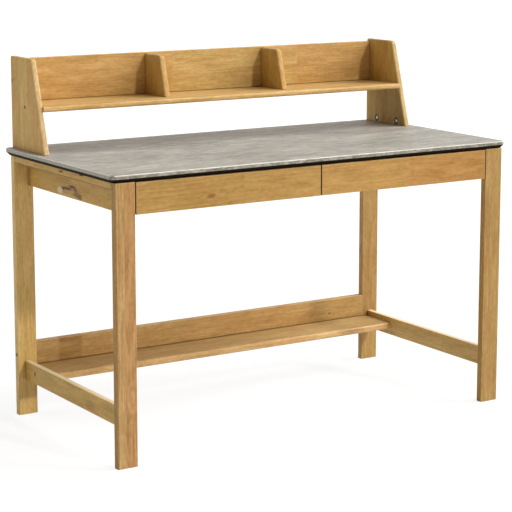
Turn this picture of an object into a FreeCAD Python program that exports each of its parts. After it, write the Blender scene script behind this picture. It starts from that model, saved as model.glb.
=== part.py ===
import FreeCAD, Part
import os
from FreeCAD import Vector as V

# Writing desk with two drawers, a low shelf unit on the desktop and a foot shelf.
# Millimetres. X runs to the sitter's right, Y to the back and Z up.
# The origin is on the floor, under the middle of the desktop.

# Desktop: a concrete-look slab on a black board with bevelled lower edges
top_w = 1271.0
top_d = 637.0
top_height = 762.0
slab_t = 10.0
slab_corner_r = 16.0
slab_edge_r = 2.5
underboard_t = 10.0
underboard_step = 0.6
underboard_lip = 1.0

# How far the desktop reaches past the legs
overhang_side = 11.0
overhang_front = 4.0
overhang_rear = 18.0

# Legs: flat boards, broad face to the front
leg_w = 57.0
leg_t = 21.0

# Easing of the long edges of all boards
edge_ease = 1.5

# Flat rails right under the desktop
rail_t = 18.0
cross_rail_w = 57.0

# Upright aprons under the rails, and the partition between the drawers
side_apron_t = 17.0
apron_h = 67.0
rear_apron_t = 18.0
partition_t = 18.0
partition_h = 64.0

# Drawers
drawer_gap = 3.0
drawer_top_gap = 1.5
drawer_stop_gap = 0.5
drawer_front_t = 18.0
drawer_front_h = 82.5
drawer_side_t = 12.0
drawer_back_t = 12.0
drawer_box_h = 54.0
drawer_box_d = 420.0
drawer_box_top_gap = 6.0
drawer_bottom_t = 5.0
groove_depth = 5.0
groove_lift = 8.0
groove_clear = 0.2

# Telescopic drawer slides, three nested channels each
slide_t = 12.7
slide_l = 400.0
slide_set = 3.0
slide_sheet = 1.2
slide_h = 35.0
slide_play = 0.4
slide_outer_w = 8.7
slide_middle_short = 10.0

# Shelf unit that stands on the desktop; its sides stand in from the desktop's ends
hutch_side_set = 21.0
hutch_h = 255.0
hutch_rear_set = 10.5
hutch_side_t = 17.0
hutch_foot_d = 200.0
hutch_head_d = 125.0
hutch_round_r = 14.0
hutch_edge_r = 4.5
back_panel_t = 13.0
back_panel_drop = 7.0
hutch_shelf_lift = 113.0
hutch_shelf_t = 15.0
hutch_shelf_d = 173.0
hutch_nose_r = 6.0
divider_t = 17.0
divider_foot_d = 119.0
divider_head_d = 86.0
divider_drop = 3.0

# How far each divider stands to the right of its place between equal bays
divider_shifts = {"left": 10.0, "right": 2.0}

# Lower part: side stretchers, foot shelf and the board behind it
stretcher_t = 15.0
stretcher_h = 55.0
stretcher_lift = 102.0
foot_shelf_t = 21.0
foot_shelf_d = 125.0
foot_shelf_lift = 121.0
foot_nose_r = 7.0
lower_board_h = 69.0
lower_board_lap = 2.0

# Fit of every pin, screw and dowel in its hole
hole_clear = 0.1
end_clear = 0.5

# Wooden dowels; the cover is the wood left behind a blind end
dowel_r = 4.0
dowel_l = 30.0
dowel_cover = 8.0
dowel_offset = 14.0
drawer_dowel_l = 24.0

# Frame bolts with their cross nuts; each nut's middle stands a little back from its bolt's end
bolt_r = 3.0
bolt_grip = 34.0
bolt_head_r = 6.0
bolt_head_t = 1.5
nut_r = 5.0
nut_l = 14.0
nut_back = 10.0

# Screws
screw_r = 2.0
screw_head_r = 4.0
screw_head_t = 1.8
screw_bite = 14.0
top_screw_bite = 6.0
top_screw_set = 70.0
divider_screw_set = 28.0
drawer_screw_offset = 11.0
slide_screw_head_t = 1.4
slide_screw_head_r = 3.4
slide_screw_bite = 6.0
slide_screw_set = 50.0

# Bolts that hold the shelf unit together
hutch_bolt_r = 2.5
hutch_bolt_bite = 35.0
hutch_bolt_head_r = 5.5
hutch_bolt_head_t = 1.2
hutch_bolt_set = 85.0

# Round connectors that fix the shelf unit to the desktop
connector_r = 10.0
connector_depth = 12.5
connector_lift = 13.0
connector_throat_w = 8.0
connector_rear_set = 54.0
connector_front_set = 155.0
cam_r = 5.0
cam_depth = 10.0
cam_sink = 0.8
stud_r = 3.0
stud_bite = 8.0
stud_gap = 0.6

# Heights that follow from the desktop
slab_z = top_height - slab_t
leg_h = slab_z - underboard_t
rail_z = leg_h - rail_t
apron_z = rail_z - apron_h

# Places that follow from the desktop's overhangs
leg_out = top_w / 2 - overhang_side
leg_in = leg_out - leg_w
front_y = -top_d / 2 + overhang_front
rear_y = top_d / 2 - overhang_rear
front_leg_back = front_y + leg_t
rear_leg_front = rear_y - leg_t
case_back = rear_leg_front - rear_apron_t
case_front = front_y + drawer_front_t + drawer_stop_gap

SIDES = (("left", -1), ("right", 1))
nodes = {}
groups = {}


def box(xs, ys, zs):
    size = (xs[1] - xs[0], ys[1] - ys[0], zs[1] - zs[0])
    return Part.makeBox(size[0], size[1], size[2], V(xs[0], ys[0], zs[0]))


def span(side, a, b):
    # The X span between two distances from the middle, on one side of the desk
    return tuple(sorted((side * a, side * b)))


def runs_along(edge, letters):
    direction = edge.tangentAt(edge.FirstParameter)
    parts = {"X": direction.x, "Y": direction.y, "Z": direction.z}
    return any(abs(parts[letter]) > 0.999 for letter in letters)


def eased(shape, along, radius=edge_ease):
    # Rounds the edges that run along the named axes
    return shape.makeFillet(radius, [e for e in shape.Edges if runs_along(e, along)])


def nosed(shape, y, radius):
    # Rounds both edges along X of the board's front or rear face
    return shape.makeFillet(radius, [e for e in shape.Edges if runs_along(e, "X") and is_near(e, y)])


def is_near(edge, y, z=None):
    center = edge.CenterOfMass
    return abs(center.y - y) < 1e-3 and (z is None or abs(center.z - z) < 1e-3)


def outline(points, thickness, x0):
    # Extrudes a closed outline of (y, z) points along X
    corners = [V(x0, y, z) for y, z in points]
    face = Part.Face(Part.makePolygon(corners + corners[:1]))
    return face.extrude(V(thickness, 0, 0))


def rod(start, direction, length, radius):
    return Part.makeCylinder(radius, length, start, direction)


def drill(names, start, direction, length, radius):
    tool = rod(start, direction, length, radius + hole_clear)
    for name in names:
        nodes[name] = nodes[name].cut(tool)


def add_dowel(names, joint, ahead, blind_t, length=dowel_l, group="wooden_dowels"):
    # A dowel across a joint face: ahead points out of the board in which it ends blind
    back = blind_t - dowel_cover
    start = joint - ahead * back
    groups.setdefault(group, []).append(rod(start, ahead, length, dowel_r))
    drill(names, start - ahead * end_clear, ahead, length + 2 * end_clear, dowel_r)


def add_screw(group, names, seat, direction, length, radius, head_r, head_t, sink=0.0):
    # The head sits on the face at the seat, or sunk into it; the shank runs on along the direction
    head_start = seat + direction * (sink - head_t)
    under_head = seat + direction * sink
    solid = rod(head_start, direction, head_t, head_r).fuse(rod(under_head, direction, length, radius))
    groups.setdefault(group, []).append(solid.removeSplitter())
    drill(names, seat, direction, sink + length + end_clear, radius)
    if sink:
        drill(names, seat - direction * head_t, direction, head_t + sink, head_r)


def add_cross_nut(board, center, direction, bolt_direction):
    # A barrel nut whose own hole takes the bolt
    start = center - direction * (nut_l / 2)
    nut = rod(start, direction, nut_l, nut_r)
    bore = rod(center - bolt_direction * (2 * nut_r), bolt_direction, 4 * nut_r, bolt_r + hole_clear)
    groups.setdefault("cross_nuts", []).append(nut.cut(bore))
    drill([board], start, direction, nut_l + end_clear, nut_r)


def make_desktop():
    half_w = top_w / 2
    half_d = top_d / 2
    slab = box((-half_w, half_w), (-half_d, half_d), (slab_z, top_height))
    slab = eased(slab, "Z", slab_corner_r)
    rim = [e for e in slab.Edges if abs(e.BoundBox.ZMin - top_height) < 1e-6]
    nodes["desktop_slab"] = slab.makeFillet(slab_edge_r, rim)
    wide = half_w - underboard_step
    deep = half_d - underboard_step
    under = box((-wide, wide), (-deep, deep), (leg_h, slab_z))
    under = eased(under, "Z", slab_corner_r - underboard_step)
    # The bevel leaves a thin upright lip under the slab
    rim = [e for e in under.Edges if abs(e.BoundBox.ZMax - leg_h) < 1e-6]
    nodes["desktop_underboard"] = under.makeChamfer(underboard_t - underboard_lip, rim)


def make_legs():
    for name, side in SIDES:
        xs = span(side, leg_in, leg_out)
        front = box(xs, (front_y, front_leg_back), (0, leg_h))
        rear = box(xs, (rear_leg_front, rear_y), (0, leg_h))
        nodes["leg_front_" + name] = eased(front, "Z")
        nodes["leg_rear_" + name] = eased(rear, "Z")


def make_top_frame():
    zs = (rail_z, leg_h)
    apron_zs = (apron_z, rail_z)
    for name, side in SIDES:
        rail = box(span(side, leg_in, leg_out), (front_leg_back, rear_leg_front), zs)
        nodes["side_rail_" + name] = eased(rail, "Y")
        apron = box(span(side, leg_in, leg_in + side_apron_t), (front_leg_back, case_back), apron_zs)
        nodes["side_apron_" + name] = eased(apron, "Y")
    inside = (-leg_in, leg_in)
    front = box(inside, (case_front, case_front + cross_rail_w), zs)
    nodes["front_rail"] = eased(front, "X")
    rear = box(inside, (rear_leg_front - cross_rail_w, rear_leg_front), zs)
    nodes["rear_rail"] = eased(rear, "X")
    apron_half = leg_in + side_apron_t
    rear_apron = box((-apron_half, apron_half), (case_back, rear_leg_front), apron_zs)
    nodes["rear_apron"] = eased(rear_apron, "X")
    half = partition_t / 2
    partition = box((-half, half), (case_front, case_back), (rail_z - partition_h, rail_z))
    nodes["drawer_partition"] = eased(partition, "Y")


def drawer_limits(side):
    # The drawer front's X span, and the box's X span between its two slides
    front = span(side, drawer_gap / 2, leg_in - drawer_gap)
    body = span(side, partition_t / 2 + slide_t, leg_in - slide_t)
    return front, body


def make_drawer(name, side):
    front_xs, body_xs = drawer_limits(side)
    front_z1 = leg_h - drawer_top_gap
    front_ys = (front_y, front_y + drawer_front_t)
    front = box(front_xs, front_ys, (front_z1 - drawer_front_h, front_z1))
    front = eased(front, "XYZ")
    box_z1 = rail_z - drawer_box_top_gap
    box_z0 = box_z1 - drawer_box_h
    y0 = front_ys[1]
    y1 = y0 + drawer_box_d
    left = box((body_xs[0], body_xs[0] + drawer_side_t), (y0, y1), (box_z0, box_z1))
    right = box((body_xs[1] - drawer_side_t, body_xs[1]), (y0, y1), (box_z0, box_z1))
    left = eased(left, "Y", edge_ease / 2)
    right = eased(right, "Y", edge_ease / 2)
    inner_xs = (body_xs[0] + drawer_side_t, body_xs[1] - drawer_side_t)
    panel_z0 = box_z0 + groove_lift
    panel_z1 = panel_z0 + drawer_bottom_t
    back = box(inner_xs, (y1 - drawer_back_t, y1), (panel_z1, box_z1))
    panel_in = groove_depth - end_clear
    panel_xs = (inner_xs[0] - panel_in, inner_xs[1] + panel_in)
    panel = box(panel_xs, (y0 - panel_in, y1), (panel_z0, panel_z1))
    groove_xs = (inner_xs[0] - groove_depth, inner_xs[1] + groove_depth)
    groove_zs = (panel_z0 - groove_clear, panel_z1 + groove_clear)
    groove = box(groove_xs, (y0 - groove_depth, y1), groove_zs)
    inner_groove = groove.cut(box(inner_xs, (y0, y1), groove_zs))
    nodes[name + "_drawer_front"] = front.cut(groove)
    nodes[name + "_drawer_side_left"] = left.cut(inner_groove)
    nodes[name + "_drawer_side_right"] = right.cut(inner_groove)
    nodes[name + "_drawer_back"] = back
    nodes[name + "_drawer_bottom"] = panel
    screw_z = (panel_z1 + box_z1) / 2
    for end, x, inward in (("left", body_xs[0], 1), ("right", body_xs[1], -1)):
        side_name = name + "_drawer_side_" + end
        names = [side_name, name + "_drawer_back"]
        length = drawer_side_t + screw_bite - screw_head_t
        for dz in (-drawer_screw_offset, drawer_screw_offset):
            seat = V(x, y1 - drawer_back_t / 2, screw_z + dz)
            add_screw(name + "_drawer_screws", names, seat, V(inward, 0, 0),
                      length, screw_r, screw_head_r, screw_head_t, screw_head_t)
        joint = V(x + inward * drawer_side_t / 2, y0, screw_z)
        add_dowel([name + "_drawer_front", side_name], joint, V(0, 1, 0), drawer_front_t,
                  drawer_dowel_l, name + "_drawer_dowels")
    return (box_z0 + box_z1) / 2


def channel(x_web, x_tip, height, y0, length, z_mid):
    # A sheet channel: an upright web at x_web, with two flanges that reach out to x_tip
    toward = 1 if x_tip > x_web else -1
    xs = sorted((x_web, x_web + toward * slide_sheet))
    flange_xs = sorted((x_web, x_tip))
    ys = (y0, y0 + length)
    half = height / 2
    web = box(xs, ys, (z_mid - half, z_mid + half))
    upper = box(flange_xs, ys, (z_mid + half - slide_sheet, z_mid + half))
    lower = box(flange_xs, ys, (z_mid - half, z_mid - half + slide_sheet))
    return web.fuse([upper, lower]).removeSplitter()


def make_slide(drawer, end, x_case, toward, z_mid, case_node):
    # x_case is the face that carries the slide and toward points from it to the drawer
    y0 = front_y + drawer_front_t + slide_set
    nest = 2 * (slide_sheet + slide_play)
    middle_h = slide_h - nest
    inner_h = middle_h - nest
    middle_in = slide_sheet + slide_screw_head_t + 2 * slide_play
    inner_tip = middle_in + slide_sheet + slide_play
    middle_y = y0 + slide_middle_short / 2
    middle_l = slide_l - slide_middle_short
    x_drawer = x_case + toward * slide_t
    outer_name = drawer + "_slide_outer_" + end
    inner_name = drawer + "_slide_inner_" + end
    side_name = drawer + "_drawer_side_" + end
    nodes[outer_name] = channel(x_case, x_case + toward * slide_outer_w, slide_h, y0, slide_l, z_mid)
    nodes[drawer + "_slide_middle_" + end] = channel(
        x_case + toward * middle_in, x_drawer - toward * slide_play, middle_h, middle_y, middle_l, z_mid)
    nodes[inner_name] = channel(x_drawer, x_case + toward * inner_tip, inner_h, y0, slide_l, z_mid)
    length = slide_sheet + slide_screw_bite
    head = (slide_screw_head_r, slide_screw_head_t)
    for y in (y0 + slide_screw_set, y0 + slide_l - slide_screw_set):
        seat = V(x_case + toward * slide_sheet, y, z_mid)
        add_screw("case_slide_screws", [outer_name, case_node], seat, V(-toward, 0, 0),
                  length, screw_r, *head)
        seat = V(x_drawer - toward * slide_sheet, y, z_mid)
        add_screw(drawer + "_drawer_screws", [inner_name, side_name], seat, V(toward, 0, 0),
                  length, screw_r, *head)


def make_drawers():
    for name, side in SIDES:
        z_mid = make_drawer(name, side)
        half = partition_t / 2
        left_x, right_x = (-leg_in, -half) if side < 0 else (half, leg_in)
        left_case = "side_apron_left" if side < 0 else "drawer_partition"
        right_case = "drawer_partition" if side < 0 else "side_apron_right"
        make_slide(name, "left", left_x, 1, z_mid, left_case)
        make_slide(name, "right", right_x, -1, z_mid, right_case)


hutch_back = top_d / 2 - hutch_rear_set
hutch_top = top_height + hutch_h
hutch_out = top_w / 2 - hutch_side_set
hutch_in = hutch_out - hutch_side_t
back_panel_front = hutch_back - back_panel_t
back_panel_top = hutch_top - back_panel_drop
shelf_z0 = top_height + hutch_shelf_lift
shelf_z1 = shelf_z0 + hutch_shelf_t
bay_w = (2 * hutch_in - 2 * divider_t) / 3
DIVIDERS = (
    ("left", -hutch_in + bay_w + divider_shifts["left"]),
    ("right", hutch_in - bay_w - divider_t + divider_shifts["right"]),
)


def slanted_panel(x0, thickness, back, foot_d, head_d, z0, z1):
    # An upright panel whose front edge leans back, with a rounded upper corner and soft front edges
    points = [(back, z0), (back, z1), (back - head_d, z1), (back - foot_d, z0)]
    panel = outline(points, thickness, x0)
    corner = [e for e in panel.Edges if runs_along(e, "X") and is_near(e, back - head_d, z1)]
    panel = panel.makeFillet(hutch_round_r, corner)
    soft = [e for e in panel.Edges if on_front_or_top(e, back, z0)]
    return panel.makeFillet(hutch_edge_r, soft)


def on_front_or_top(edge, back, z0):
    # The two long side edges of the panel's front, round and top, but none across its thickness
    bounds = edge.BoundBox
    if bounds.XLength > 1e-3:
        return False
    upright_back = abs(bounds.YMin - back) < 1e-3
    foot = abs(bounds.ZMax - z0) < 1e-3
    return not upright_back and not foot


def make_hutch():
    for name, side in SIDES:
        x0 = span(side, hutch_in, hutch_out)[0]
        nodes["hutch_side_" + name] = slanted_panel(
            x0, hutch_side_t, hutch_back, hutch_foot_d, hutch_head_d, top_height, hutch_top)
    inside = (-hutch_in, hutch_in)
    shelf = box(inside, (hutch_back - hutch_shelf_d, hutch_back), (shelf_z0, shelf_z1))
    nodes["hutch_shelf"] = nosed(shelf, hutch_back - hutch_shelf_d, hutch_nose_r)
    panel = box(inside, (back_panel_front, hutch_back), (shelf_z1, back_panel_top))
    nodes["hutch_back_panel"] = eased(panel, "X")
    for name, x0 in DIVIDERS:
        nodes["hutch_divider_" + name] = slanted_panel(
            x0, divider_t, back_panel_front, divider_foot_d, divider_head_d,
            shelf_z1, back_panel_top - divider_drop)


def make_lower_part():
    stretcher_out = (leg_out + leg_in + stretcher_t) / 2
    stretcher_in = stretcher_out - stretcher_t
    zs = (stretcher_lift, stretcher_lift + stretcher_h)
    for name, side in SIDES:
        xs = span(side, stretcher_in, stretcher_out)
        bar = box(xs, (front_leg_back, rear_leg_front), zs)
        nodes["side_stretcher_" + name] = eased(bar, "Y")
    shelf_z = (foot_shelf_lift, foot_shelf_lift + foot_shelf_t)
    y0 = rear_leg_front - foot_shelf_d
    shelf = box((-stretcher_in, stretcher_in), (y0, rear_leg_front), shelf_z)
    nodes["foot_shelf"] = nosed(nosed(shelf, y0, foot_nose_r), rear_leg_front, edge_ease)
    board_z = shelf_z[1] - lower_board_lap
    board = box((-leg_in, leg_in), (rear_leg_front, rear_y), (board_z, board_z + lower_board_h))
    nodes["lower_back_board"] = eased(board, "X")
    return stretcher_out, stretcher_in


def dowel_side_frames(stretcher_mid):
    # Each side is a glued frame: two legs, a stretcher, a rail and an apron
    forward = V(0, -1, 0)
    backward = V(0, 1, 0)
    pair = (-dowel_offset, dowel_offset)
    stretcher_z = stretcher_lift + stretcher_h / 2
    apron_mid = apron_z + apron_h / 2
    ends = (("leg_front_", front_leg_back, backward), ("leg_rear_", rear_leg_front, forward))
    for name, side in SIDES:
        rail_x = side * (leg_in + leg_out) / 2
        apron_x = side * (leg_in + side_apron_t / 2)
        for leg, y, away in ends:
            for shift in pair:
                joint = V(side * stretcher_mid, y, stretcher_z + shift)
                add_dowel([leg + name, "side_stretcher_" + name], joint, away, leg_t)
                joint = V(rail_x + shift, y, rail_z + rail_t / 2)
                add_dowel([leg + name, "side_rail_" + name], joint, away, leg_t)
        for shift in pair:
            joint = V(apron_x, front_leg_back, apron_mid + shift)
            add_dowel(["leg_front_" + name, "side_apron_" + name], joint, backward, leg_t)
            joint = V(apron_x, rear_leg_front, apron_mid + shift)
            length = leg_t + rear_apron_t - 2 * dowel_cover
            add_dowel(["leg_rear_" + name, "rear_apron"], joint, forward, leg_t, length)
        for y in (front_leg_back + top_screw_set, case_back - top_screw_set):
            names = ["side_rail_" + name, "side_apron_" + name]
            add_dowel(names, V(apron_x, y, rail_z), V(0, 0, -1), rail_t)


def dowel_case():
    # The cross rails between the side rails, and the partition against the rear apron
    z = rail_z + rail_t / 2
    front_mid = case_front + cross_rail_w / 2
    rear_mid = rear_leg_front - cross_rail_w / 2
    for name, side in SIDES:
        inward = V(-side, 0, 0)
        for shift in (dowel_r, dowel_offset + dowel_r):
            names = ["side_rail_" + name, "front_rail"]
            add_dowel(names, V(side * leg_in, front_mid + shift, z), inward, dowel_l / 2 + dowel_cover)
            names = ["side_rail_" + name, "rear_rail"]
            add_dowel(names, V(side * leg_in, rear_mid - shift, z), inward, dowel_l / 2 + dowel_cover)
    for shift in (-dowel_offset, dowel_offset):
        joint = V(0, case_back, rail_z - partition_h / 2 + shift)
        add_dowel(["drawer_partition", "rear_apron"], joint, V(0, -1, 0), rear_apron_t)


def bolt_frame(stretcher_out, stretcher_in):
    # Bolts and cross nuts hold the lower board and the foot shelf between the two side frames
    board_y = (rear_leg_front + rear_y) / 2
    board_z = foot_shelf_lift + foot_shelf_t - lower_board_lap + lower_board_h / 2
    shelf_y = rear_leg_front - foot_shelf_d / 2
    shelf_z = foot_shelf_lift + foot_shelf_t / 2
    head = (bolt_head_r, bolt_head_t)
    for name, side in SIDES:
        inward = V(-side, 0, 0)
        seat = V(side * leg_out, board_y, board_z)
        names = ["leg_rear_" + name, "lower_back_board"]
        add_screw("frame_bolts", names, seat, inward, leg_w + bolt_grip, bolt_r, *head)
        center = V(side * (leg_in - bolt_grip + nut_back), board_y, board_z)
        add_cross_nut("lower_back_board", center, V(0, -1, 0), inward)
        seat = V(side * stretcher_out, shelf_y, shelf_z)
        names = ["side_stretcher_" + name, "foot_shelf"]
        add_screw("frame_bolts", names, seat, inward, stretcher_t + bolt_grip, bolt_r, *head)
        center = V(side * (stretcher_in - bolt_grip + nut_back), shelf_y, shelf_z)
        add_cross_nut("foot_shelf", center, V(0, 0, 1), inward)


def screw_desktop():
    # Screws go up through the four rails into the desktop, clear of the aprons
    length = rail_t + underboard_t + top_screw_bite
    front_mid = case_front + cross_rail_w / 2
    rear_mid = case_back - (cross_rail_w - rear_apron_t) / 2
    spots = []
    for name, side in SIDES:
        x = side * (leg_out - (leg_w - side_apron_t) / 2)
        for y in (front_leg_back + top_screw_set, 0.0, rear_leg_front - top_screw_set):
            spots.append(("side_rail_" + name, x, y))
        for x in (side * (leg_in - top_screw_set), side * top_screw_set):
            spots.append(("front_rail", x, front_mid))
            spots.append(("rear_rail", x, rear_mid))
    head = (screw_head_r, screw_head_t)
    for rail, x, y in spots:
        names = [rail, "desktop_underboard", "desktop_slab"]
        add_screw("wood_screws", names, V(x, y, rail_z), V(0, 0, 1), length, screw_r, *head)


def fasten_hutch():
    panel_y = (back_panel_front + hutch_back) / 2
    panel_z = (shelf_z1 + back_panel_top) / 2
    shelf_z = (shelf_z0 + shelf_z1) / 2
    length = hutch_side_t + hutch_bolt_bite
    head = (hutch_bolt_head_r, hutch_bolt_head_t)
    spots = (("hutch_back_panel", panel_y, panel_z), ("hutch_shelf", hutch_back - hutch_bolt_set, shelf_z))
    for name, side in SIDES:
        for board, y, z in spots:
            seat = V(side * hutch_out, y, z)
            add_screw("hutch_bolts", ["hutch_side_" + name, board], seat, V(-side, 0, 0),
                      length, hutch_bolt_r, *head)
    head = (screw_head_r, screw_head_t, screw_head_t)
    for name, x0 in DIVIDERS:
        divider = "hutch_divider_" + name
        x = x0 + divider_t / 2
        for z in (shelf_z1 + divider_screw_set, back_panel_top - divider_screw_set):
            add_screw("wood_screws", ["hutch_back_panel", divider], V(x, hutch_back, z), V(0, -1, 0),
                      back_panel_t + screw_bite, screw_r, *head)
        seat = V(x, back_panel_front - divider_foot_d / 2, shelf_z0)
        add_screw("wood_screws", ["hutch_shelf", divider], seat, V(0, 0, 1),
                  hutch_shelf_t + screw_bite, screw_r, *head)


def add_connectors():
    # Round housings let into the inner faces of the shelf unit's sides, each over a stud in the desktop
    for name, side in SIDES:
        panel = "hutch_side_" + name
        for set_back in (connector_rear_set, connector_front_set):
            y = hutch_back - set_back
            z = top_height + connector_lift
            face = V(side * hutch_in, y, z)
            outward = V(side, 0, 0)
            throat_xs = span(side, hutch_in, hutch_in + connector_depth)
            throat_ys = (y - connector_throat_w / 2, y + connector_throat_w / 2)
            housing = rod(face, outward, connector_depth, connector_r)
            housing = housing.fuse(box(throat_xs, throat_ys, (top_height, z))).removeSplitter()
            nodes[panel] = nodes[panel].cut(grown_pocket(face, outward, side, y, z))
            pocket = rod(face, outward, cam_depth, cam_r + hole_clear)
            stud_x = side * (hutch_in + connector_depth / 2)
            stud_top = z - cam_r - stud_gap
            stud_room = rod(V(stud_x, y, top_height), V(0, 0, 1), z - top_height, stud_r + hole_clear)
            housing = housing.cut(pocket).cut(stud_room)
            groups.setdefault("connector_housings", []).append(housing)
            cam_start = face + outward * cam_sink
            cam = rod(cam_start, outward, cam_depth - cam_sink, cam_r)
            groups.setdefault("connector_cams", []).append(cam)
            stud_start = V(stud_x, y, top_height - stud_bite)
            stud = rod(stud_start, V(0, 0, 1), stud_top - stud_start.z, stud_r)
            groups.setdefault("connector_studs", []).append(stud)
            hole_start = stud_start - V(0, 0, end_clear)
            drill(["desktop_slab"], hole_start, V(0, 0, 1), stud_bite + 2 * end_clear, stud_r)


def grown_pocket(face, outward, side, y, z):
    # The pocket in the panel: the housing's shape with a little room around it
    depth = connector_depth + hole_clear
    start = face - outward * end_clear
    pocket = rod(start, outward, end_clear + depth, connector_r + hole_clear)
    xs = span(side, hutch_in - end_clear, hutch_in + depth)
    half = connector_throat_w / 2 + hole_clear
    return pocket.fuse(box(xs, (y - half, y + half), (top_height - end_clear, z)))


def write_nodes():
    os.makedirs("parts", exist_ok=True)
    for group, solids in groups.items():
        nodes[group] = Part.makeCompound(solids)
    for name, shape in sorted(nodes.items()):
        assert shape.isValid(), name
        shape.exportStep("parts/" + name + ".step")
    print(len(nodes), "nodes,", sum(len(s.Solids) for s in nodes.values()), "solids")


make_desktop()
make_legs()
make_top_frame()
make_drawers()
make_hutch()
stretcher_faces = make_lower_part()
dowel_side_frames(sum(stretcher_faces) / 2)
dowel_case()
bolt_frame(*stretcher_faces)
screw_desktop()
fasten_hutch()
add_connectors()
write_nodes()
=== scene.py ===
import math

import bmesh
import bpy
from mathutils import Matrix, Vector


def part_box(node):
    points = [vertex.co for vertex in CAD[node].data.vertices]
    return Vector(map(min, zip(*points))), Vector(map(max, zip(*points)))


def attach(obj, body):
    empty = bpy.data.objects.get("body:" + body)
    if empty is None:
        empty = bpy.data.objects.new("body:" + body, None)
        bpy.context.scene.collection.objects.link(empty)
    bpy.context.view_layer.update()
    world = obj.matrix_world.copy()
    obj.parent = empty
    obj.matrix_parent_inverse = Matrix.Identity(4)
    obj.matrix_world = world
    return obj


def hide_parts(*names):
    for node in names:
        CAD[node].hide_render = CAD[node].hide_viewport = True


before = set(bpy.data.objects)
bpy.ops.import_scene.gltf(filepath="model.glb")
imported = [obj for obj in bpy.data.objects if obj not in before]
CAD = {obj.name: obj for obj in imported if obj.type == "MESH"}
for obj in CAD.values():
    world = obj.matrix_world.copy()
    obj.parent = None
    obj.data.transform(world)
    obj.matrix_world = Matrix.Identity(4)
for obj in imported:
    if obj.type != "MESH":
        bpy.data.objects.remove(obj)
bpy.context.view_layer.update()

# The photograph's view: place in metres, angles in degrees, focal length in pixels of the frame
CAMERA_PLACE = (-2.699, -4.243, 1.432)
CAMERA_YAW = 32.38
CAMERA_PITCH = 9.52
CAMERA_FOCAL_PX = 1798.3
CAMERA_SHIFT_Y = -0.1
CAMERA_CLIP = (0.05, 200.0)
FRAME_PX = 512.0
SENSOR_MM = 36.0

MM = 1000.0
WHITE = (1.0, 1.0, 1.0, 1.0)


def srgb(r, g, b):
    """A colour given in 0 to 255 as it shows on a screen, in linear light."""
    def lin(c):
        c = c / 255.0
        return c / 12.92 if c <= 0.04045 else ((c + 0.055) / 1.055) ** 2.4
    return (lin(r), lin(g), lin(b), 1.0)


SOCKETS = {
    "specular_ior_level": "Specular IOR Level",
    "coat_weight": "Coat Weight",
    "coat_roughness": "Coat Roughness",
    "metallic": "Metallic",
}
NODE_STEP = (220, 260)
NODES_IN_COLUMN = 8


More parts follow.
